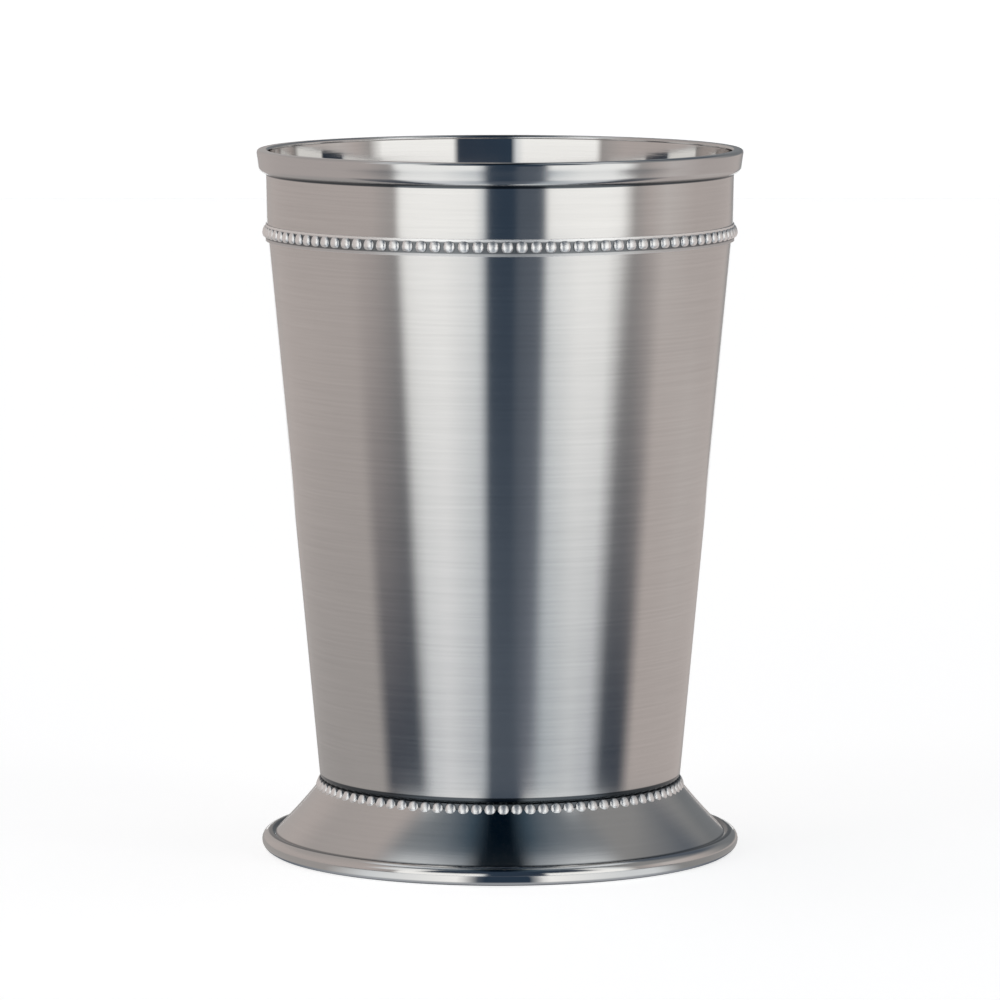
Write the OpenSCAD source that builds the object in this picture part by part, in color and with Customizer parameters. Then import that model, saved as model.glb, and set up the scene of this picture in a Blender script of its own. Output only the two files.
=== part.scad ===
// Footed julep cup of brushed stainless steel, with a thick rim band and two rings of beads.
// Every piece is turned about the Z axis, and +Z points up out of the mouth.
// The origin is the centre of the ring on which the foot rests.

/* [Cup] */
// Height of the whole cup, from the resting ring to the crest of the rim
cup_height = 114.4; // [100:0.1:135]
// Thickness of the cup's sheet
wall_t = 0.7; // [0.5:0.05:1]
// Outer radius of the upper band at the rim
mouth_r = 38; // [35:0.1:42]
// How much wider the upper band is at the rim than at its lower edge
band_spread = 0.23; // [0:0.01:0.8]
// Height of the upper band, from the end of the taper to the crest of the rim
band_h = 11.8; // [8:0.1:18]
// How much the inside of the band opens out at the lip
lip_open = 0.3; // [0:0.05:0.3]
// Height of the stretch that opens out, up to the lip
lip_open_h = 6; // [3:0.5:7]
// Outer radius of the tapered wall at its foot
base_r = 29.49; // [26:0.01:33]
// Outer radius of the rounding between the wall and the floor
corner_r = 2; // [1.4:0.1:3]
// Thickness of the film of solder in every soldered joint
solder_gap = 0.05; // [0.02:0.01:0.1]

/* [Rim band] */
// How far the rim band stands out from the upper band
rim_proud = 1.45; // [0.9:0.05:2.4]
// Height of the rim band
rim_h = 3.8; // [3.2:0.1:7]
// How much the rim band's face draws in towards its lower edge
rim_draw = 0.3; // [0:0.05:0.5]
// Metal of the rim band above the edge of the cup's wall
rim_cap_t = 0.55; // [0.5:0.05:0.9]
// Rounding of the rim's crest on its outer side
crest_round = 0.55; // [0.2:0.05:0.8]
// Rounding of the rim's crest on its inner side
crest_inner_round = 0.4; // [0.2:0.05:0.45]

/* [Upper bead ring] */
// Distance from the end of the taper down to the ring
upper_ring_drop = 0.25; // [0:0.05:4]
// Height of the strip that carries the beads
upper_strip_h = 2.7; // [2.4:0.1:4]
// Thickness of that strip
upper_strip_t = 0.28; // [0.2:0.02:0.5]
// Number of beads
upper_bead_count = 104; // [60:1:120]
// Radius of a bead's curve
upper_bead_r = 1.3; // [1:0.05:1.5]
// How far the beads stand out from the strip
upper_bead_proud = 0.5; // [0.3:0.02:0.7]

/* [Lower bead ring] */
// Number of beads
lower_bead_count = 87; // [50:1:100]
// Radius of a bead's curve
lower_bead_r = 1.08; // [0.9:0.02:1.14]
// How far the beads stand out from the core that carries them
lower_bead_proud = 0.55; // [0.45:0.01:0.65]
// How far the beads' crests lie outside the foot of the wall
lower_crest_out = 0.46; // [0.35:0.01:0.6]
// Height of the beads' crests above the foot's shoulder
lower_crest_up = 0.25; // [0.1:0.05:0.4]
// Height of the core above the foot's shoulder
lower_core_h = 0.9; // [0.6:0.05:1]
// Width of the core's seat on the foot's shoulder
lower_seat_w = 0.7; // [0.5:0.05:1]
// Upward lean of the beads, in degrees from the horizontal
lower_lean = 20.5; // [0:0.5:30]

/* [Foot] */
// Height of the foot's shoulder, on which the cup is soldered
foot_h = 10.75; // [9:0.05:14]
// Thickness of the foot's sheet
foot_t = 0.7; // [0.5:0.05:0.8]
// Outer radius of the foot, at its rolled edge
foot_r = 38.92; // [37:0.01:46]
// How far the shoulder's edge lies outside the foot of the cup's wall
shoulder_out = 0.15; // [0.1:0.01:0.6]
// Width of the shoulder, from the opening inside it to its edge
shoulder_w = 7.64; // [5.5:0.02:17]
// How far the middle of the flare is hollowed below a straight line
flare_hollow = 0.18; // [0.1:0.01:0.9]
// Radius of the rolled edge
roll_r = 1.5; // [1.2:0.02:1.7]
// Height of the middle of the rolled edge
roll_z = 1.62; // [1.5:0.02:2.4]
// Angle at which the flare runs into the roll, in degrees from the horizontal
roll_start = 120; // [110:1:140]
// Inward lean of the skirt below the roll, in degrees from the vertical
skirt_lean = 60; // [35:1:60]

/* [Solder] */
// Radius of the solder fillet inside the shoulder's opening
fillet_r = 0.5; // [0.2:0.05:0.5]

/* [Hidden] */
$fn = 96;

// Segments along each curved stretch of an outline
arc_steps = 8;
// Segments round a thin strip, drawn finer than the rest
fine_steps = 240;
// How far the outline that trims the beads reaches past their crests
overrun = 1;
// Depth of a bead's root in the metal that carries it, as a share of that metal's width
bead_root_share = 0.15;

steel = [0.73, 0.72, 0.71];
bright_steel = [0.8, 0.8, 0.81];
solder = [0.62, 0.62, 0.6];

// Heights of the cup's floor, of the centre of its corner and of the end of its taper
floor_z = foot_h + solder_gap;
corner_z = floor_z + corner_r;
band_z = cup_height - band_h;

// The tapered wall, the upper band and the rounding that starts the wall
band_low_r = mouth_r - band_spread;
wall_lean = atan((band_low_r - base_r) / (band_z - corner_z));
wall_across = wall_t / cos(wall_lean);
corner_c = [base_r - corner_r / cos(wall_lean), corner_z];
corner_top_z = corner_z - corner_r * sin(wall_lean);

// Outer radius of the tapered wall, and of the upper band, at a height
function wall_outer_r(z) = base_r + (z - corner_z) * tan(wall_lean);
function band_outer_r(z) = band_low_r + band_spread * (z - band_z) / band_h;

// Points of an arc about a centre, from one angle to another; first = 1 leaves out the first point
function arc(centre, radius, from, to, first = 0) =
    [for (i = [first:arc_steps]) let (a = from + (to - from) * i / arc_steps)
        centre + radius * [cos(a), sin(a)]];

// A point at a distance from another, in the direction of an angle
function beside(point, distance, angle) = point + distance * [cos(angle), sin(angle)];

// An outline in radius and height, turned about the Z axis
module turned(outline) {
    rotate_extrude() polygon(outline);
}

// An outline turned about the Z axis, its outside cut to one flat for each bead
module flatted(count, flat_r, outline) {
    corner_out_r = flat_r / cos(180 / count);
    intersection() {
        turned(outline, $fn = fine_steps);
        linear_extrude(height = cup_height)
            polygon([for (i = [0:count - 1]) beside([0, 0], corner_out_r, 360 * i / count)]);
    }
}

// A ring of balls whose centres lie at a radius and height, each trimmed to an outline
module beads(count, radius, centre, limits) {
    for (i = [0:count - 1])
        rotate([0, 0, 360 * (i + 1 / 2) / count]) intersection() {
            translate([centre[0], 0, centre[1]]) rotate([0, 0, 180]) sphere(r = radius);
            rotate([90, 0, 0])
                linear_extrude(height = 2 * (radius + overrun), center = true) polygon(limits);
        }
}

// Drawn shell: floor, rounded corner, tapered wall and near-straight band, thinner at the lip
lip_z = cup_height - rim_cap_t - solder_gap;
lip_inner_r = band_outer_r(lip_z) - wall_across + lip_open;
open_z = lip_z - lip_open_h;
module cup_body() {
    color(steel) turned(concat(
        [[0, floor_z]],
        arc(corner_c, corner_r, -90, -wall_lean),
        [[band_low_r, band_z], [band_outer_r(lip_z), lip_z]],
        [[lip_inner_r, lip_z], [band_outer_r(open_z) - wall_across, open_z]],
        [[band_low_r - wall_across, band_z]],
        arc(corner_c, corner_r - wall_t, -wall_lean, -90),
        [[0, floor_z + wall_t]]));
}

// Band round the mouth: its cap covers the wall's edge, its face draws in and rounds under
rim_low_z = cup_height - rim_h;
rim_cap_z = cup_height - rim_cap_t;
rim_seat_r = band_outer_r(rim_low_z) + solder_gap;
rim_face_r = mouth_r + rim_proud;
rim_under_r = rim_face_r - rim_draw - rim_seat_r;
module rim_band() {
    color(bright_steel) turned(concat(
        arc([rim_seat_r, rim_low_z + rim_under_r], rim_under_r, -90, 0),
        arc([rim_face_r - crest_round, cup_height - crest_round], crest_round, 0, 90),
        arc([lip_inner_r + crest_inner_round, cup_height - crest_inner_round],
            crest_inner_round, 90, 180),
        [[lip_inner_r, rim_cap_z], [band_outer_r(rim_cap_z) + solder_gap, rim_cap_z]]));
}

// Beaded strip round the top of the taper, its back parallel to the wall
upper_high_z = band_z - upper_ring_drop;
upper_low_z = upper_high_z - upper_strip_h;
upper_mid_z = (upper_high_z + upper_low_z) / 2;
function upper_back_r(z) = wall_outer_r(z) + solder_gap;
upper_face_r = upper_back_r(upper_mid_z) + upper_strip_t;
upper_crest_r = upper_face_r + upper_bead_proud;
upper_root_r = upper_face_r - upper_strip_t * bead_root_share;
module upper_bead_ring() {
    free_r = upper_crest_r + overrun;
    color(bright_steel) union() {
        flatted(upper_bead_count, upper_face_r, [
            [upper_back_r(upper_low_z), upper_low_z],
            [free_r, upper_low_z],
            [free_r, upper_high_z],
            [upper_back_r(upper_high_z), upper_high_z]]);
        beads(upper_bead_count, upper_bead_r, [upper_crest_r - upper_bead_r, upper_mid_z], [
            [upper_root_r, upper_low_z],
            [free_r, upper_low_z],
            [free_r, upper_high_z],
            [upper_root_r, upper_high_z]]);
    }
}

// Spun foot of one thickness: shoulder, hollow flare, groove, rolled edge and skirt
shoulder = [base_r + shoulder_out, foot_h];
shoulder_opening_r = shoulder[0] - shoulder_w;
roll_c = [foot_r - roll_r, roll_z];
groove = beside(roll_c, roll_r, roll_start);
flare_chord = groove - shoulder;
flare_r = (pow(norm(flare_chord) / 2, 2) + pow(flare_hollow, 2)) / (2 * flare_hollow);
flare_slope = atan2(flare_chord[1], flare_chord[0]);
flare_c = beside((shoulder + groove) / 2, flare_r - flare_hollow, flare_slope + 90);
flare_half = asin(norm(flare_chord) / 2 / flare_r);
flare_from = flare_slope - 90 - flare_half;
flare_to = flare_slope - 90 + flare_half;
under_z = foot_h - foot_t;
under_from = -180 + asin((flare_c[1] - under_z) / (flare_r + foot_t));
skirt_top = beside(roll_c, roll_r, -skirt_lean);
skirt_foot_r = skirt_top[0] - skirt_top[1] * tan(skirt_lean);
module foot() {
    color(steel) turned(concat(
        [[shoulder_opening_r, foot_h]],
        arc(flare_c, flare_r, flare_from, flare_to),
        arc(roll_c, roll_r, roll_start, -skirt_lean, 1),
        [[skirt_foot_r, 0], [skirt_foot_r - foot_t / cos(skirt_lean), 0]],
        arc(roll_c, roll_r - foot_t, -skirt_lean, roll_start),
        arc(groove, foot_t, roll_start - 180, flare_to, 1),
        arc(flare_c, flare_r + foot_t, flare_to, under_from, 1),
        [[shoulder_opening_r, under_z]]));
}

// Beaded wire in the corner between the foot's shoulder and the cup's rounded bottom
lower_seat_z = foot_h + solder_gap;
lower_crest = [base_r + lower_crest_out, foot_h + lower_crest_up];
lower_top_z = foot_h + lower_core_h;
lower_face_r = lower_crest[0] - lower_bead_proud;
lower_back_r = lower_face_r - lower_seat_w;
lower_root_r = lower_face_r - lower_seat_w * bead_root_share;
lower_root_z = lower_seat_z + lower_seat_w * bead_root_share;
lower_back_arc_r = corner_r + solder_gap;
lower_back_from = asin((lower_top_z - corner_z) / lower_back_arc_r);
lower_back_to = -acos((lower_back_r - corner_c[0]) / lower_back_arc_r);
module lower_bead_ring() {
    free_r = lower_crest[0] + overrun;
    trim_r = flare_r - solder_gap;
    trim_from = -180 + asin((flare_c[1] - lower_seat_z) / trim_r);
    trim_to = -180 + acos((flare_c[0] - free_r) / trim_r);
    color(bright_steel) union() {
        flatted(lower_bead_count, lower_face_r, concat(
            [[free_r, lower_seat_z], [free_r, lower_top_z]],
            arc(corner_c, lower_back_arc_r, lower_back_from, lower_back_to),
            [[lower_back_r, lower_seat_z]]));
        beads(lower_bead_count, lower_bead_r, beside(lower_crest, -lower_bead_r, lower_lean), [
            [lower_root_r, lower_root_z],
            beside(flare_c, trim_r, trim_from),
            beside(flare_c, trim_r, trim_to),
            [free_r, corner_top_z],
            [lower_root_r, corner_top_z]]);
    }
}

// Film of solder between the shoulder and the cup's floor, with its fillet inside the opening
module solder_ring() {
    color(solder) turned(concat(
        [[corner_c[0], floor_z]],
        arc([shoulder_opening_r - fillet_r, floor_z - fillet_r], fillet_r, 90, 0),
        [[shoulder_opening_r, foot_h], [corner_c[0], foot_h]]));
}

cup_body();
rim_band();
upper_bead_ring();
foot();
lower_bead_ring();
solder_ring();
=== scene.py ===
import math

import bpy
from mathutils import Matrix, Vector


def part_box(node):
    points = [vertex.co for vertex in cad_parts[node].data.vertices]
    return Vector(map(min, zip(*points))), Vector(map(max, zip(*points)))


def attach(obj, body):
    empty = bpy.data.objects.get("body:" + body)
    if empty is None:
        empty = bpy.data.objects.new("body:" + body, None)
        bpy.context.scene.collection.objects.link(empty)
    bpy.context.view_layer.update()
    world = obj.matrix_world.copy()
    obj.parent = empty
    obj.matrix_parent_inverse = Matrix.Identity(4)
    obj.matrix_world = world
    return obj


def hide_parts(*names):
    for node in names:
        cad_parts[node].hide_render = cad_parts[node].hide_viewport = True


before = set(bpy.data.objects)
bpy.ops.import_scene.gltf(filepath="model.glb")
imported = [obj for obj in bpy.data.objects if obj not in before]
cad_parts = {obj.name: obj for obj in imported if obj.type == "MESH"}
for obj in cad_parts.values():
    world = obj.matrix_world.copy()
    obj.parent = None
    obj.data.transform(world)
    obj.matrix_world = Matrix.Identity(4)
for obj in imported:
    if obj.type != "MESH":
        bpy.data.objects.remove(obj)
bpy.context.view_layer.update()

# Sizes are given in millimetres, and MM turns them into the frame's metres.
MM = 0.001
QUARTER = math.radians(90)

# Overall sizes, read from the frame
CUP_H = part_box("rim_band")[1].z / MM
RIM_FACE_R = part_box("rim_band")[1].x / MM
RIM_LOW_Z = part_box("rim_band")[0].z / MM
FLOOR_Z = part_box("cup_body")[0].z / MM
LIP_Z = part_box("cup_body")[1].z / MM
FOOT_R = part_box("foot")[1].x / MM
FOOT_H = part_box("foot")[1].z / MM
UPPER_LOW_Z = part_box("upper_bead_ring")[0].z / MM
UPPER_HIGH_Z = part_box("upper_bead_ring")[1].z / MM

# The cup's sheet, its rounded bottom corner, its taper, its upper band and its opened lip
WALL_T = 0.7
BAND_H = 11.8
BAND_SPREAD = 0.23
MOUTH_R = 38.0
BASE_R = 29.49
CORNER_R = 2.0
SOLDER_GAP = 0.05
LIP_OPEN = 0.3
LIP_OPEN_H = 6.0
BAND_Z = CUP_H - BAND_H
BAND_LOW_R = MOUTH_R - BAND_SPREAD
CORNER_Z = FLOOR_Z + CORNER_R
LEAN = math.atan((BAND_LOW_R - BASE_R) / (BAND_Z - CORNER_Z))
WALL_ACROSS = WALL_T / math.cos(LEAN)
CORNER_CENTRE = (BASE_R - CORNER_R / math.cos(LEAN), CORNER_Z)

# The rim band
RIM_DRAW = 0.3
RIM_CAP_T = 0.55
CREST_ROUND = 0.55
CREST_INNER_ROUND = 0.4

# The upper bead ring: a strip and its beads, whose half sizes go outwards, across and upwards
UPPER_COUNT = 104
UPPER_STRIP_T = 0.28
UPPER_PROUD = 0.5
UPPER_LEAN = math.radians(12)
UPPER_HALF = (0.75, 0.98, 0.95)
UPPER_RAISE = 0.3

# The lower bead ring: a core in the corner above the foot's shoulder, and its beads
LOWER_COUNT = 87
LOWER_CREST_OUT = 0.46
LOWER_CREST_UP = 0.25
LOWER_PROUD = 0.55
LOWER_CORE_H = 0.9
LOWER_SEAT_W = 0.7
LOWER_LEAN = math.radians(20.5)
LOWER_HALF = (0.9, 0.98, 1.12)

# How square the beads are: 2 makes them ellipsoids
BEAD_POWER = 2.6

# The foot: shoulder, hollow flare, groove, rolled edge and skirt
FOOT_T = 0.7
SHOULDER_OUT = 0.15
OPENING_R = 22.0
FLARE_HOLLOW = 0.18
ROLL_R = 1.5
ROLL_Z = 1.62
ROLL_START = math.radians(120)
SKIRT_LEAN = math.radians(60)

# Fineness of the meshes, and what counts as a corner and as one point
AROUND = 384
ARC_STEPS = 14
LONGEST_STEP = 2.0
BEAD_RINGS = 12
BEAD_SIDES = 20
SHARP_TURN = math.radians(25)
SAME_POINT = 1e-6


def wall_r(z):
    """Outer radius of the tapered wall at a height."""
    return BASE_R + (z - CORNER_Z) * math.tan(LEAN)


def band_r(z):
    """Outer radius of the upper band at a height."""
    return BAND_LOW_R + BAND_SPREAD * (z - BAND_Z) / BAND_H


def beside(point, distance, angle):
    """The point at a distance from another, in the direction of an angle."""
    return (point[0] + distance * math.cos(angle), point[1] + distance * math.sin(angle))


def arc(centre, radius, start, end):
    """Points of an arc about a centre, with both ends."""
    return [beside(centre, radius, start + (end - start) * i / ARC_STEPS)
            for i in range(ARC_STEPS + 1)]


def angle_between(a, b, c):
    """How far an outline turns at b, in radians."""
    first = math.atan2(b[1] - a[1], b[0] - a[0])
    second = math.atan2(c[1] - b[1], c[0] - b[0])
    return abs((second - first + math.pi) % (2 * math.pi) - math.pi)


def cleaned(outline):
    """The closed outline without doubled points, its long stretches divided, and its corners."""
    points = []
    for p in outline:
        if not points or math.dist(p, points[-1]) > SAME_POINT:
            points.append(p)
    if math.dist(points[0], points[-1]) < SAME_POINT:
        points.pop()
    rings, corners = [], set()
    for i, p in enumerate(points):
        before, after = points[i - 1], points[(i + 1) % len(points)]
        if angle_between(before, p, after) > SHARP_TURN:
            corners.add(len(rings))
        rings.append(p)
        if p[0] > 0 or after[0] > 0:
            parts = math.ceil(math.dist(p, after) / LONGEST_STEP)
            for k in range(1, parts):
                rings.append((p[0] + (after[0] - p[0]) * k / parts,
                              p[1] + (after[1] - p[1]) * k / parts))
    return rings, corners


def turned(outline):
    """Vertices, faces and sharp edges of a closed outline turned about the Z axis."""
    rings, corners = cleaned(outline)
    verts, starts = [], []
    for r, z in rings:
        starts.append(len(verts))
        for k in range(AROUND if r > SAME_POINT else 1):
            a = 2 * math.pi * k / AROUND
            verts.append((r * math.cos(a) * MM, r * math.sin(a) * MM, z * MM))
    faces, sharp = [], set()
    for i, (r, z) in enumerate(rings):
        j = (i + 1) % len(rings)
        on_axis_i, on_axis_j = r <= SAME_POINT, rings[j][0] <= SAME_POINT
        if on_axis_i and on_axis_j:
            continue
        for k in range(AROUND):
            n = (k + 1) % AROUND
            if on_axis_i:
                faces.append((starts[i], starts[j] + n, starts[j] + k))
            elif on_axis_j:
                faces.append((starts[i] + k, starts[i] + n, starts[j]))
            else:
                faces.append((starts[i] + k, starts[i] + n, starts[j] + n, starts[j] + k))
        if i in corners and not on_axis_i:
            sharp.update((starts[i] + k, starts[i] + (k + 1) % AROUND) for k in range(AROUND))
    return verts, faces, sharp


def bead(half, place, lean, turn):
    """One cushion-shaped bead: its half sizes, its place, its lean and its turn round the cup."""
    verts, faces = [], []
    for i in range(BEAD_RINGS + 1):
        up = math.pi * (i / BEAD_RINGS - 0.5)
        sides = 1 if i in (0, BEAD_RINGS) else BEAD_SIDES
        for k in range(sides):
            side = 2 * math.pi * k / BEAD_SIDES
            ray = (math.cos(up) * math.cos(side), math.cos(up) * math.sin(side), math.sin(up))
            reach = sum(abs(c / h) ** BEAD_POWER for c, h in zip(ray, half)) ** (-1 / BEAD_POWER)
            out, across, high = (c * reach for c in ray)
            r = place[0] + out * math.cos(lean) - high * math.sin(lean)
            z = place[1] + out * math.sin(lean) + high * math.cos(lean)
            verts.append(((r * math.cos(turn) - across * math.sin(turn)) * MM,
                          (r * math.sin(turn) + across * math.cos(turn)) * MM, z * MM))
    for i in range(BEAD_RINGS):
        low = 0 if i == 0 else 1 + (i - 1) * BEAD_SIDES
        high = 1 + i * BEAD_SIDES
        for k in range(BEAD_SIDES):
            n = (k + 1) % BEAD_SIDES
            if i == 0:
                faces.append((0, high + n, high + k))
            elif i == BEAD_RINGS - 1:
                faces.append((low + k, low + n, high))
            else:
                faces.append((low + k, low + n, high + n, high + k))
    return verts, faces


def ringed(core, count, half, place, lean):
    """The parts of a bead ring, its core and its beads, and the core's sharp edges."""
    verts, faces, sharp = turned(core)
    turns = [2 * math.pi * (i + 0.5) / count for i in range(count)]
    return [(verts, faces)] + [bead(half, place, lean, turn) for turn in turns], sharp


def mesh_object(name, verts, faces, material):
    """A new object in the scene, with a mesh and a material."""
    mesh = bpy.data.meshes.new(name)
    mesh.from_pydata(verts, [], faces)
    mesh.validate()
    mesh.update()
    mesh.materials.append(material)
    made = bpy.data.objects.new(name, mesh)
    bpy.context.scene.collection.objects.link(made)
    return made


def piece(name, parts, sharp, material, slot, node):
    """A smooth mesh from lists of vertices and faces, which stands for a CAD node."""
    verts, faces = [], []
    for part_verts, part_faces in parts:
        base = len(verts)
        verts += part_verts
        faces += [tuple(v + base for v in face) for face in part_faces]
    made = mesh_object(name, verts, faces, material)
    made.data.shade_smooth()
    pairs = {tuple(sorted(edge)) for edge in sharp}
    for edge in made.data.edges:
        if tuple(sorted(edge.vertices)) in pairs:
            edge.use_edge_sharp = True
    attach(made, "root")
    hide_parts(node)


def cup_outline():
    """Drawn shell: floor, rounded corner, tapered wall and near-straight upper band."""
    lip_r = band_r(LIP_Z)
    open_z = LIP_Z - LIP_OPEN_H
    return ([(0, FLOOR_Z)]
            + arc(CORNER_CENTRE, CORNER_R, -QUARTER, -LEAN)
            + [(BAND_LOW_R, BAND_Z), (lip_r, LIP_Z), (lip_r - WALL_ACROSS + LIP_OPEN, LIP_Z),
               (band_r(open_z) - WALL_ACROSS, open_z), (BAND_LOW_R - WALL_ACROSS, BAND_Z)]
            + arc(CORNER_CENTRE, CORNER_R - WALL_T, -LEAN, -QUARTER)
            + [(0, FLOOR_Z + WALL_T)])


def rim_outline():
    """Band round the mouth: its cap covers the lip, its face draws in and rounds under."""
    cap_z = CUP_H - RIM_CAP_T
    seat_r = band_r(RIM_LOW_Z) + SOLDER_GAP
    under_r = RIM_FACE_R - RIM_DRAW - seat_r
    inner_r = band_r(LIP_Z) - WALL_ACROSS + LIP_OPEN
    return (arc((seat_r, RIM_LOW_Z + under_r), under_r, -QUARTER, 0)
            + arc((RIM_FACE_R - CREST_ROUND, CUP_H - CREST_ROUND), CREST_ROUND, 0, QUARTER)
            + arc((inner_r + CREST_INNER_ROUND, CUP_H - CREST_INNER_ROUND),
                  CREST_INNER_ROUND, QUARTER, 2 * QUARTER)
            + [(inner_r, cap_z), (band_r(cap_z) + SOLDER_GAP, cap_z)])


def foot_outline():
    """Spun foot of one thickness: shoulder, hollow flare, groove, rolled edge and skirt."""
    shoulder = (BASE_R + SHOULDER_OUT, FOOT_H)
    roll = (FOOT_R - ROLL_R, ROLL_Z)
    groove = beside(roll, ROLL_R, ROLL_START)
    chord = math.dist(shoulder, groove)
    slope = math.atan2(groove[1] - shoulder[1], groove[0] - shoulder[0])
    flare_r = ((chord / 2) ** 2 + FLARE_HOLLOW ** 2) / (2 * FLARE_HOLLOW)
    middle = ((shoulder[0] + groove[0]) / 2, (shoulder[1] + groove[1]) / 2)
    centre = beside(middle, flare_r - FLARE_HOLLOW, slope + QUARTER)
    half = math.asin(chord / 2 / flare_r)
    start, end = slope - QUARTER - half, slope - QUARTER + half
    under_z = FOOT_H - FOOT_T
    under_start = -math.pi + math.asin((centre[1] - under_z) / (flare_r + FOOT_T))
    skirt_top = beside(roll, ROLL_R, -SKIRT_LEAN)
    skirt_r = skirt_top[0] - skirt_top[1] * math.tan(SKIRT_LEAN)
    return ([(OPENING_R, FOOT_H)]
            + arc(centre, flare_r, start, end)
            + arc(roll, ROLL_R, ROLL_START, -SKIRT_LEAN)
            + [(skirt_r, 0), (skirt_r - FOOT_T / math.cos(SKIRT_LEAN), 0)]
            + arc(roll, ROLL_R - FOOT_T, -SKIRT_LEAN, ROLL_START)
            + arc(groove, FOOT_T, ROLL_START - math.pi, end)
            + arc(centre, flare_r + FOOT_T, end, under_start)
            + [(OPENING_R, under_z)])


def upper_ring():
    """Strip round the top of the taper, with its cushion-shaped beads."""
    middle = (UPPER_LOW_Z + UPPER_HIGH_Z) / 2
    face = wall_r(middle) + SOLDER_GAP + UPPER_STRIP_T
    strip = [(wall_r(UPPER_LOW_Z) + SOLDER_GAP, UPPER_LOW_Z), (face, UPPER_LOW_Z),
             (face, UPPER_HIGH_Z), (wall_r(UPPER_HIGH_Z) + SOLDER_GAP, UPPER_HIGH_Z)]
    crest = (face + UPPER_PROUD, middle + UPPER_RAISE)
    place = beside(crest, -UPPER_HALF[0], UPPER_LEAN)
    return ringed(strip, UPPER_COUNT, UPPER_HALF, place, UPPER_LEAN)


def lower_ring():
    """Core in the corner above the foot's shoulder, with beads that lean outwards."""
    crest = (BASE_R + LOWER_CREST_OUT, FOOT_H + LOWER_CREST_UP)
    face = crest[0] - LOWER_PROUD
    low, top = FOOT_H + SOLDER_GAP, FOOT_H + LOWER_CORE_H
    back_arc = CORNER_R + SOLDER_GAP
    back = face - LOWER_SEAT_W
    core = ([(face, low), (face, top)]
            + arc(CORNER_CENTRE, back_arc, math.asin((top - CORNER_Z) / back_arc),
                  -math.acos((back - CORNER_CENTRE[0]) / back_arc))
            + [(back, low)])
    place = beside(crest, -LOWER_HALF[0], LOWER_LEAN)
    return ringed(core, LOWER_COUNT, LOWER_HALF, place, LOWER_LEAN)


class Nodes:
    """Short ways to add the nodes of a material or world."""

    def __init__(self, owner):
        owner.use_nodes = True
        self.tree = owner.node_tree
        self.tree.nodes.clear()

    def add(self, kind, **settings):
        made = self.tree.nodes.new(kind)
        for key, value in settings.items():
            setattr(made, key, value)
        return made

    def put(self, socket, value):
        if isinstance(value, bpy.types.NodeSocket):
            self.tree.links.new(value, socket)
        else:
            socket.default_value = value

    def output(self, surface, kind="Material"):
        out = self.add("ShaderNodeOutput" + kind)
        self.put(out.inputs["Surface"], surface)

    def place(self, kind="Object"):
        """Texture coordinates, whole and then as x, y and z."""
        whole = self.add("ShaderNodeTexCoord").outputs[kind]
        parts = self.add("ShaderNodeSeparateXYZ")
        self.put(parts.inputs[0], whole)
        return whole, parts.outputs["X"], parts.outputs["Y"], parts.outputs["Z"]

    def math(self, operation, *values, clamp=False):
        made = self.add("ShaderNodeMath", operation=operation, use_clamp=clamp)
        for socket, value in zip(made.inputs, values):
            self.put(socket, value)
        return made.outputs[0]

    def plus(self, a, b, clamp=False):
        return self.math("ADD", a, b, clamp=clamp)

    def minus(self, a, b):
        return self.math("SUBTRACT", a, b)

    def times(self, a, b):
        return self.math("MULTIPLY", a, b)

    def over(self, a, b, clamp=False):
        return self.math("DIVIDE", a, b, clamp=clamp)

    def reach(self, x, y):
        """Distance from the Z axis."""
        return self.math("SQRT", self.plus(self.times(x, x), self.times(y, y)))

    def azimuth(self, x, y):
        """Azimuth from the camera's side of the cup, positive to the right, from -1/2 to 1/2."""
        return self.over(self.math("ARCTAN2", x, self.times(y, -1)), 2 * math.pi)

    def step(self, value, low, high):
        """0 below low, 1 above high and smooth between."""
        made = self.add("ShaderNodeMapRange", interpolation_type="SMOOTHSTEP")
        self.put(made.inputs["Value"], value)
        made.inputs["From Min"].default_value = low
        made.inputs["From Max"].default_value = high
        return made.outputs["Result"]

    def below(self, value, low, high):
        """1 below low, 0 above high and smooth between."""
        return self.minus(1, self.step(value, low, high))

    def between(self, value, low, high, soft):
        """1 between two values and 0 outside them, with soft edges."""
        return self.times(self.step(value, low - soft, low + soft),
                          self.below(value, high - soft, high + soft))

    def ramp(self, factor, stops):
        """A colour ramp through a list of (position, colour)."""
        made = self.add("ShaderNodeValToRGB")
        elements = made.color_ramp.elements
        while len(elements) > 1:
            elements.remove(elements[0])
        elements[0].position = stops[0][0]
        elements[0].color = (*stops[0][1], 1)
        for position, colour in stops[1:]:
            elements.new(position).color = (*colour, 1)
        self.put(made.inputs[0], factor)
        return made.outputs[0]

    def bands(self, turn, stops):
        """A ramp that runs round the Z axis, through a list of (azimuth in degrees, colour)."""
        return self.ramp(self.plus(turn, 0.5), [(az / 360 + 0.5, colour) for az, colour in stops])

    def mix(self, factor, first, second):
        made = self.add("ShaderNodeMix", data_type="RGBA")
        self.put(made.inputs["Factor"], factor)
        for name, value in (("A", first), ("B", second)):
            socket = next(s for s in made.inputs if s.name == name and s.type == "RGBA")
            self.put(socket, value if isinstance(value, bpy.types.NodeSocket) else (*value, 1))
        return next(s for s in made.outputs if s.type == "RGBA")

    def noise(self, place, scale, detail):
        made = self.add("ShaderNodeTexNoise")
        self.put(made.inputs["Vector"], place)
        made.inputs["Scale"].default_value = scale
        made.inputs["Detail"].default_value = detail
        return made.outputs[0]

    def bump(self, height, strength, distance):
        made = self.add("ShaderNodeBump")
        made.inputs["Strength"].default_value = strength
        made.inputs["Distance"].default_value = distance
        self.put(made.inputs["Height"], height)
        return made.outputs[0]


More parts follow.
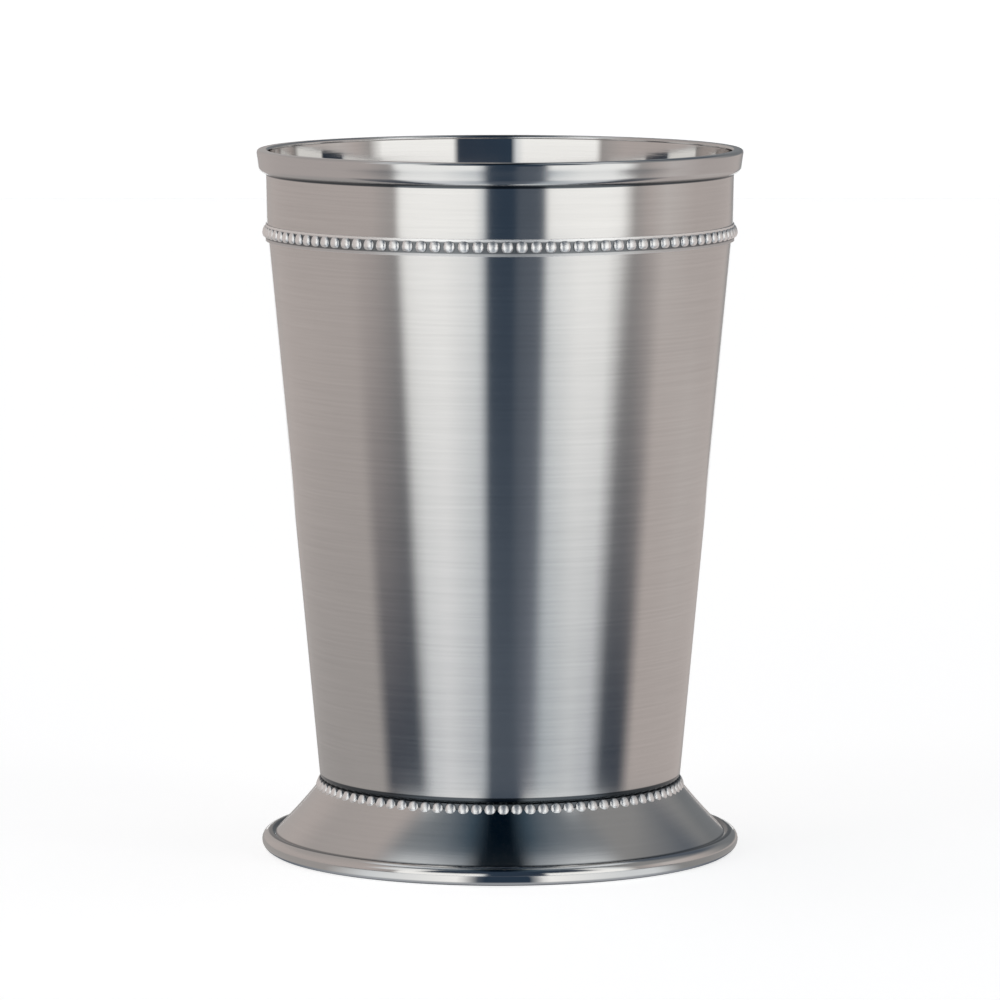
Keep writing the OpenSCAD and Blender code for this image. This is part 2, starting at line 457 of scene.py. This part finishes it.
# Brushing: noise drawn out round the cup, about 1.6 cells to a radian and 2400 to a metre of
# height. It tints the metal, roughens it and shows as a faint bump.
GRAIN_AROUND = 1.6
GRAIN_UP = 2400
GRAIN_DETAIL = 3
GRAIN_BUMP = 0.02
GRAIN_DEPTH = 0.0001
CLOUD_SCALE = 45
CLOUD_DETAIL = 4
ROUGHER = 0.25
# The brushing lies round the cup, so reflections are drawn out up and down.
BRUSH_TURN = 0.25

# Painted shade in recesses, under edges and between beads: its colour, how dark it is, where it
# starts and ends, and how soft its edges are
PAINTED_SHADE_COLOUR = (0.02, 0.035, 0.05)
RECESS_SHADE_DARK = 0.9
LOW_SEAM_Z = (FLOOR_Z + 0.3, CORNER_Z - 0.1)
LOW_SEAM_R = (BASE_R - 0.65, BASE_R - 0.5)
LOW_SEAM_SOFT = 0.1
RIM_SEAM_Z = (RIM_LOW_Z - 0.3, CUP_H)
RIM_SEAM_R = (BAND_LOW_R - 0.1, BAND_LOW_R)
RIM_SEAM_SOFT = 0.08
GROOVE_R = FOOT_R - ROLL_R + ROLL_R * math.cos(ROLL_START)
GROOVE_ACROSS = (GROOVE_R - 0.1, GROOVE_R + 1.2)
GROOVE_SOFT = 0.15
REST_Z = (0.1, 0.3)
RIM_EDGE_DARK = 0.85
RIM_EDGE_Z = (RIM_LOW_Z + 0.1, RIM_LOW_Z + 0.5)
UPPER_DARK = 0.8
UPPER_HOLLOW_Z = (UPPER_LOW_Z + 0.4, UPPER_HIGH_Z - 0.4)
UPPER_HOLLOW_SOFT = 0.15
UPPER_FACE_R = wall_r((UPPER_LOW_Z + UPPER_HIGH_Z) / 2) + SOLDER_GAP + UPPER_STRIP_T
UPPER_HOLLOW_R = (UPPER_FACE_R + 0.05, UPPER_FACE_R + 0.15)
UNDER_BEADS_DARK = 0.35
UNDER_BEADS_Z = (UPPER_LOW_Z, UPPER_LOW_Z + 0.7)
UNDER_BEADS_SOFT = 0.1
LOWER_DARK = 0.85
LOWER_CREST_R = BASE_R + LOWER_CREST_OUT
LOWER_HOLLOW_R = (LOWER_CREST_R - 0.5, LOWER_CREST_R - 0.3)

# How far inside the wall's outer face the smoother metal of the inside begins
INSIDE_EDGE = (0.05, 0.15)


def cup_painted_shade(n, radius, height):
    """Painted shade in the seams above the lower beads and under the rim band."""
    low_seam = n.times(n.between(height, *LOW_SEAM_Z, LOW_SEAM_SOFT), n.step(radius, *LOW_SEAM_R))
    rim_seam = n.times(n.between(height, *RIM_SEAM_Z, RIM_SEAM_SOFT), n.step(radius, *RIM_SEAM_R))
    return n.times(n.math("MAXIMUM", low_seam, rim_seam), RECESS_SHADE_DARK)


def foot_painted_shade(n, radius, height):
    """Painted shade in the groove inside the rolled edge, and a painted shadow line where the
    foot meets the table.
    """
    groove = n.between(radius, *GROOVE_ACROSS, GROOVE_SOFT)
    return n.times(n.math("MAXIMUM", groove, n.below(height, *REST_Z)), RECESS_SHADE_DARK)


def rim_painted_shade(n, radius, height):
    """Painted shade on the lower edge of the rim band, where it rounds under."""
    return n.times(n.below(height, *RIM_EDGE_Z), RIM_EDGE_DARK)


def upper_painted_shade(n, radius, height):
    """Painted shade in the hollows between the upper beads, and a greyer strip of painted shade
    under them.
    """
    middle = n.times(n.between(height, *UPPER_HOLLOW_Z, UPPER_HOLLOW_SOFT), UPPER_DARK)
    hollow = n.times(middle, n.below(radius, *UPPER_HOLLOW_R))
    under = n.times(n.between(height, *UNDER_BEADS_Z, UNDER_BEADS_SOFT), UNDER_BEADS_DARK)
    return n.math("MAXIMUM", hollow, under)


def lower_painted_shade(n, radius, height):
    """Painted shade in the hollows between and behind the lower beads."""
    return n.times(n.below(radius, *LOWER_HOLLOW_R), LOWER_DARK)


def steel(name, colour, roughness, anisotropy, streak, scuff, painted_shade, inside_roughness=None):
    """Brushed steel: fine lines round the cup, faint cloudy patches and painted shade in
    recesses.

    streak and scuff are how much the lines and the patches change the shade, the argument after
    scuff gives the amount of painted shade from the radius and height in millimetres, and
    inside_roughness is for the cup, whose inside is smoother.
    """
    material = bpy.data.materials.new(name)
    n = Nodes(material)
    place, x, y, z = n.place()
    radius = n.over(n.reach(x, y), MM)
    height = n.over(z, MM)
    turn = n.math("ARCTAN2", y, x)
    round_place = n.add("ShaderNodeCombineXYZ")
    n.put(round_place.inputs["X"], n.times(n.math("COSINE", turn), GRAIN_AROUND))
    n.put(round_place.inputs["Y"], n.times(n.math("SINE", turn), GRAIN_AROUND))
    n.put(round_place.inputs["Z"], n.times(z, GRAIN_UP))
    grain = n.noise(round_place.outputs[0], 1, GRAIN_DETAIL)
    cloud = n.noise(place, CLOUD_SCALE, CLOUD_DETAIL)
    shade = n.plus(n.times(n.minus(grain, 0.5), streak), n.times(n.minus(cloud, 0.5), scuff))
    if inside_roughness:
        wall = n.math("MINIMUM", BAND_LOW_R, n.plus(wall_r(0), n.times(height, math.tan(LEAN))))
        inside = n.step(n.minus(wall, radius), *INSIDE_EDGE)
        roughness = n.plus(roughness, n.times(inside, inside_roughness - roughness))
    tinted = n.add("ShaderNodeVectorMath", operation="SCALE")
    tinted.inputs[0].default_value = colour
    n.put(tinted.inputs["Scale"], n.plus(shade, 1))
    # Painted shade darkens the colour in recesses and under edges.
    skin = n.mix(painted_shade(n, radius, height), tinted.outputs[0], PAINTED_SHADE_COLOUR)
    shader = n.add("ShaderNodeBsdfPrincipled")
    n.put(shader.inputs["Base Color"], skin)
    shader.inputs["Metallic"].default_value = 1
    n.put(shader.inputs["Roughness"], n.plus(roughness, n.times(shade, ROUGHER), clamp=True))
    shader.inputs["Anisotropic"].default_value = anisotropy
    shader.inputs["Anisotropic Rotation"].default_value = BRUSH_TURN
    tangent = n.add("ShaderNodeTangent", direction_type="RADIAL", axis="Z")
    n.put(shader.inputs["Tangent"], tangent.outputs[0])
    n.put(shader.inputs["Normal"], n.bump(grain, GRAIN_BUMP, GRAIN_DEPTH))
    n.output(shader.outputs[0])
    return material


# Solder: its shade between two noise levels, its roughness and its bump
SOLDER_SHADES = [(0.3, (0.5, 0.5, 0.48)), (0.7, (0.66, 0.66, 0.64))]
SOLDER_SCALE = 900
SOLDER_DETAIL = 5
SOLDER_ROUGH = 0.3
SOLDER_ROUGHER = 0.3
SOLDER_BUMP = 0.3
SOLDER_DEPTH = 0.0002


def solder_material():
    """Dull solder with a slightly uneven skin."""
    material = bpy.data.materials.new("solder")
    n = Nodes(material)
    skin = n.noise(n.place()[0], SOLDER_SCALE, SOLDER_DETAIL)
    shader = n.add("ShaderNodeBsdfPrincipled")
    n.put(shader.inputs["Base Color"], n.ramp(skin, SOLDER_SHADES))
    shader.inputs["Metallic"].default_value = 1
    n.put(shader.inputs["Roughness"], n.plus(SOLDER_ROUGH, n.times(skin, SOLDER_ROUGHER)))
    n.put(shader.inputs["Normal"], n.bump(skin, SOLDER_BUMP, SOLDER_DEPTH))
    n.output(shader.outputs[0])
    return material


# Colours of the studio that the metal reflects
WARM = (0.52, 0.47, 0.45)
PALE_WARM = (0.62, 0.58, 0.56)
DIM = (0.4, 0.38, 0.37)
SHADE = (0.31, 0.3, 0.3)
GREY = (0.3, 0.3, 0.3)
DUSK = (0.2, 0.21, 0.22)
SLATE = (0.1, 0.12, 0.15)
DARK = (0.03, 0.045, 0.07)
SLOT = (0.03, 0.05, 0.08)
BOX = (1.15, 1.15, 1.13)
SOFT_BOX = (0.8, 0.83, 0.85)

# Soft boxes at the front left and right, by azimuth in degrees from the camera's side of the
# cup, positive to the right. The three rows are above the horizon, below it, and higher up,
# between the first and the ceiling.
FAR_BANDS = [(-180, DIM), (-150, WARM), (-66, WARM), (-53, DIM), (-50, BOX), (-12, BOX),
             (-8, SOFT_BOX), (-6, SLOT), (21, DARK), (24, BOX), (62, BOX), (70, DIM), (78, WARM),
             (90, PALE_WARM), (112, WARM), (135, GREY), (152, DUSK), (180, DUSK)]
LEVEL_BANDS = [(-180, DIM), (-150, WARM), (-66, WARM), (-53, DIM), (-50, BOX), (-12, BOX),
               (-8, SOFT_BOX), (-6, SLOT), (7, SLOT), (9, SLATE), (21, SLATE), (24, BOX),
               (62, BOX), (70, DIM), (78, WARM), (90, PALE_WARM), (112, WARM), (155, WARM),
               (168, GREY), (180, GREY)]
RAISED_BANDS = [(-180, DIM), (-75, WARM), (-65, SOFT_BOX), (-46, BOX), (-37, DARK), (0, SLOT),
                (46, DARK), (57, BOX), (65, SOFT_BOX), (75, GREY), (110, GREY), (140, SLATE),
                (180, SLATE)]
# Elevations, in degrees, between which each row changes to the next
HORIZON = (-3, 5)
RAISED_FROM = (20, 34)
CEILING_FROM = (52, 61)

# The ceiling in front of the cup and behind it, by the distance to the side over the height.
# The edge between the two bends back at the sides.
CEILING_FRONT = [(0.07, (0, 0.004, 0.01)), (0.2, (0.05, 0.08, 0.11)), (0.35, (0.14, 0.17, 0.2)),
                 (0.55, (0.2, 0.22, 0.24))]
CEILING_BACK = [(0.1, (0.01, 0.015, 0.02)), (0.2, (0.4, 0.43, 0.46)), (0.4, SOFT_BOX),
                (0.5, SOFT_BOX), (0.7, GREY), (0.9, DIM)]
CEILING_EDGE = (-0.21, -0.17)
CEILING_BEND = 0.8
LOWEST_HIGH = 0.1


def studio_world():
    """Soft boxes round the cup, a bright ceiling behind it and a dark one in front."""
    world = bpy.data.worlds.new("studio")
    bpy.context.scene.world = world
    n = Nodes(world)
    x, y, z = n.place("Generated")[1:]
    turn = n.azimuth(x, y)
    elevation = n.math("DEGREES", n.math("ARCSINE", z))
    sky = n.mix(n.step(elevation, *HORIZON), n.bands(turn, LEVEL_BANDS), n.bands(turn, FAR_BANDS))
    sky = n.mix(n.step(elevation, *RAISED_FROM), sky, n.bands(turn, RAISED_BANDS))
    high = n.math("MAXIMUM", z, LOWEST_HIGH)
    across = n.math("ABSOLUTE", n.over(x, high))
    bend = n.times(n.times(across, across), CEILING_BEND)
    behind = n.step(n.minus(n.over(y, high), bend), *CEILING_EDGE)
    ceiling = n.mix(behind, n.ramp(across, CEILING_FRONT), n.ramp(across, CEILING_BACK))
    sky = n.mix(n.step(elevation, *CEILING_FROM), sky, ceiling)
    seen = n.add("ShaderNodeLightPath").outputs["Is Camera Ray"]
    shader = n.add("ShaderNodeBackground")
    n.put(shader.inputs["Color"], n.mix(seen, sky, (1, 1, 1)))
    shader.inputs["Strength"].default_value = 1
    n.output(shader.outputs[0], "World")


# Glowing cards that lie on the table round the cup and that only metal sees: they paint the
# reflections in the metal. Their bands are given by the azimuth on the cup at which they show.
# From the inner edge outwards they are EDGE_BANDS, for the foot's rolled edge, then NEAR_BANDS,
# which change slowly to WIDE_BANDS.
CARDS_IN_R = 37.0
CARDS_OUT_R = 465.0
CARDS_Z = 0.05
NEAR_R = 75.0
EDGE_R = (52.0, 66.0)
CARD_PALE = (0.75, 0.77, 0.8)
CARD_LIGHT = (0.62, 0.65, 0.68)
CARD_MIDDLE = (0.5, 0.53, 0.57)
CARD_DULL = (0.45, 0.5, 0.54)
WIDE_BANDS = [(-90, DIM), (-83, WARM), (-36, WARM), (-27, SHADE), (-24, BOX), (-14, BOX),
              (-5, SOFT_BOX), (-3, SLOT), (3, SLOT), (4.5, SLATE), (10, SLATE), (13, SOFT_BOX),
              (20, BOX), (28, BOX), (33, SHADE), (38, SHADE), (45, WARM), (60, PALE_WARM),
              (83, WARM), (90, DIM)]
NEAR_BANDS = [(-90, DIM), (-41, DIM), (-37, DARK), (-26, DARK), (-21.5, CARD_LIGHT),
              (-16, CARD_PALE), (-5, (0.48, 0.52, 0.56)), (-3, SLATE), (4, SLATE),
              (9, (0.18, 0.2, 0.24)), (13.5, CARD_DULL), (22, CARD_LIGHT), (28.5, CARD_MIDDLE),
              (34, DARK), (41.5, DARK), (46.5, WARM), (84, WARM), (90, DIM)]
EDGE_BANDS = [(-90, DIM), (-38, DIM), (-27, SOFT_BOX), (-8, BOX), (-4, SLOT), (6, SLOT),
              (9, BOX), (27, SOFT_BOX), (33, SOFT_BOX), (40, GREY), (90, DIM)]

# A card's azimuth over the azimuth on the cup at which it shows is the first of these, less
# the second over the card's distance from the axis.
CARD_SPREAD = 1.976
CARD_NARROWING = 28.0

# The shade under the foot's edge, with its colour in front and at the sides
FOOT_SHADE_R = (38.2, 38.8)
SHADE_FRONT = (0.4, 0.42, 0.45)
SHADE_SIDE_FROM = (25, 60)


def card_material():
    """Glowing white, grey and dark cards, and the painted shade under the foot's edge, that paint
    the reflections in the metal.
    """
    material = bpy.data.materials.new("table_cards")
    n = Nodes(material)
    x, y = n.place()[1:3]
    reach = n.reach(x, y)
    on_cup = n.over(n.azimuth(x, y), n.minus(CARD_SPREAD, n.over(CARD_NARROWING * MM, reach)))
    far = n.over(n.minus(reach, NEAR_R * MM), (CARDS_OUT_R - NEAR_R) * MM, clamp=True)
    cards = n.mix(far, n.bands(on_cup, NEAR_BANDS), n.bands(on_cup, WIDE_BANDS))
    past_edge = n.step(reach, EDGE_R[0] * MM, EDGE_R[1] * MM)
    cards = n.mix(past_edge, n.bands(on_cup, EDGE_BANDS), cards)
    sideways = n.step(n.math("ABSOLUTE", on_cup), *(az / 360 for az in SHADE_SIDE_FROM))
    past_shade = n.step(reach, FOOT_SHADE_R[0] * MM, FOOT_SHADE_R[1] * MM)
    cards = n.mix(past_shade, n.mix(sideways, SHADE_FRONT, SLATE), cards)
    glow = n.add("ShaderNodeEmission")
    n.put(glow.inputs["Color"], cards)
    glow.inputs["Strength"].default_value = 1
    n.output(glow.outputs[0])
    return material


def table_cards():
    """A flat ring just above the table, seen by metal only."""
    rays = [(math.cos(2 * math.pi * k / AROUND), math.sin(2 * math.pi * k / AROUND))
            for k in range(AROUND)]
    verts = [(r * x * MM, r * y * MM, CARDS_Z * MM) for r in (CARDS_IN_R, CARDS_OUT_R)
             for x, y in rays]
    faces = [(k, (k + 1) % AROUND, AROUND + (k + 1) % AROUND, AROUND + k) for k in range(AROUND)]
    made = mesh_object("table_cards", verts, faces, card_material())
    made.visible_camera = False
    made.visible_diffuse = False
    made.visible_shadow = False
    made.visible_volume_scatter = False


# The table top, narrower in front than behind, and the low backdrop, in metres. Their glow,
# added to the light that they take, makes them white to the camera and to metal.
PALE = (0.8, 0.8, 0.8, 1)
FLOOR_GLOW = 0.705
FLOOR_FRONT = -0.147
FLOOR_FRONT_HALF = 0.078
FLOOR_BACK = 1.6
FLOOR_BACK_HALF = 0.3
BACKDROP_H = 0.11


def pale_material():
    """Matt pale surface that the camera, and metal, see as white, with the object's shadow."""
    material = bpy.data.materials.new("pale_floor")
    n = Nodes(material)
    ray = n.add("ShaderNodeLightPath")
    seen = n.math("MAXIMUM", ray.outputs["Is Camera Ray"], n.math(
        "MAXIMUM", ray.outputs["Is Glossy Ray"], ray.outputs["Is Transmission Ray"]))
    matt = n.add("ShaderNodeBsdfDiffuse")
    matt.inputs["Color"].default_value = PALE
    glow = n.add("ShaderNodeEmission")
    glow.inputs["Color"].default_value = (1, 1, 1, 1)
    n.put(glow.inputs["Strength"], n.times(seen, FLOOR_GLOW))
    both = n.add("ShaderNodeAddShader")
    n.put(both.inputs[0], matt.outputs[0])
    n.put(both.inputs[1], glow.outputs[0])
    n.output(both.outputs[0])
    return material


def stage():
    """A pale table top that ends just below the picture, and a backdrop behind it."""
    white = pale_material()
    back_left, back_right = (-FLOOR_BACK_HALF, FLOOR_BACK), (FLOOR_BACK_HALF, FLOOR_BACK)
    front_left, front_right = (-FLOOR_FRONT_HALF, FLOOR_FRONT), (FLOOR_FRONT_HALF, FLOOR_FRONT)
    floor = [(*corner, 0) for corner in (front_left, front_right, back_right, back_left)]
    backdrop = [(*back_left, 0), (*back_right, 0), (*back_right, BACKDROP_H),
                (*back_left, BACKDROP_H)]
    for name, corners in (("floor", floor), ("backdrop", backdrop)):
        mesh_object(name, corners, [(0, 1, 2, 3)], white)


# The photograph's camera, fitted to the cup's rim, bead rings and foot: its focal length as a
# share of the picture's width, its place in metres and its tilt down in degrees
FOCAL_LENGTH = 6.5043
SENSOR_W = 36
CAMERA_PLACE = (0, -1.0524, 0.1763)
CAMERA_DOWN = 6.46
CLIP_START = 0.05


def photo_camera():
    """The photograph's view."""
    data = bpy.data.cameras.new("camera")
    data.sensor_width = SENSOR_W
    data.lens = FOCAL_LENGTH * SENSOR_W
    data.clip_start = CLIP_START
    camera = bpy.data.objects.new("camera", data)
    bpy.context.scene.collection.objects.link(camera)
    camera.location = CAMERA_PLACE
    camera.rotation_euler = (math.radians(90 - CAMERA_DOWN), 0, 0)
    bpy.context.scene.camera = camera


CUP_COLOUR = (0.72, 0.71, 0.7)
RIM_COLOUR = (0.67, 0.67, 0.67)
# The beads' steel is a full-white, lighter copy of the cup's steel: painted light that makes the
# beads look more brightly lit.
BEADS = {"colour": (1, 1, 1), "roughness": 0.38, "anisotropy": 0, "streak": 0.04, "scuff": 0.04}
cup_steel = steel("brushed_cup_steel", CUP_COLOUR, roughness=0.16, anisotropy=0.9, streak=0.15,
                  scuff=0.1, painted_shade=cup_painted_shade, inside_roughness=0.05)
foot_steel = steel("brushed_foot_steel", CUP_COLOUR, roughness=0.11, anisotropy=0.8, streak=0.08,
                   scuff=0.05, painted_shade=foot_painted_shade)
rim_steel = steel("brushed_rim_steel", RIM_COLOUR, roughness=0.13, anisotropy=0.6, streak=0.06,
                  scuff=0.06, painted_shade=rim_painted_shade)
upper_steel = steel("upper_bead_steel", painted_shade=upper_painted_shade, **BEADS)
lower_steel = steel("lower_bead_steel", painted_shade=lower_painted_shade, **BEADS)

for name, node, outline, material, slot in (
        ("cup_shell", "cup_body", cup_outline(), cup_steel, "cup_steel"),
        ("rim", "rim_band", rim_outline(), rim_steel, "trim_steel"),
        ("spun_foot", "foot", foot_outline(), foot_steel, "cup_steel")):
    shell_verts, shell_faces, shell_sharp = turned(outline)
    piece(name, [(shell_verts, shell_faces)], shell_sharp, material, slot, node)

for name, node, ring, material in (
        ("upper_beads", "upper_bead_ring", upper_ring(), upper_steel),
        ("lower_beads", "lower_bead_ring", lower_ring(), lower_steel)):
    piece(name, *ring, material, "trim_steel", node)

solder_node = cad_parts["solder_ring"]
solder_node.data.materials.clear()
solder_node.data.materials.append(solder_material())

stage()
table_cards()
studio_world()
photo_camera()
bpy.context.scene.view_settings.view_transform = "Standard"
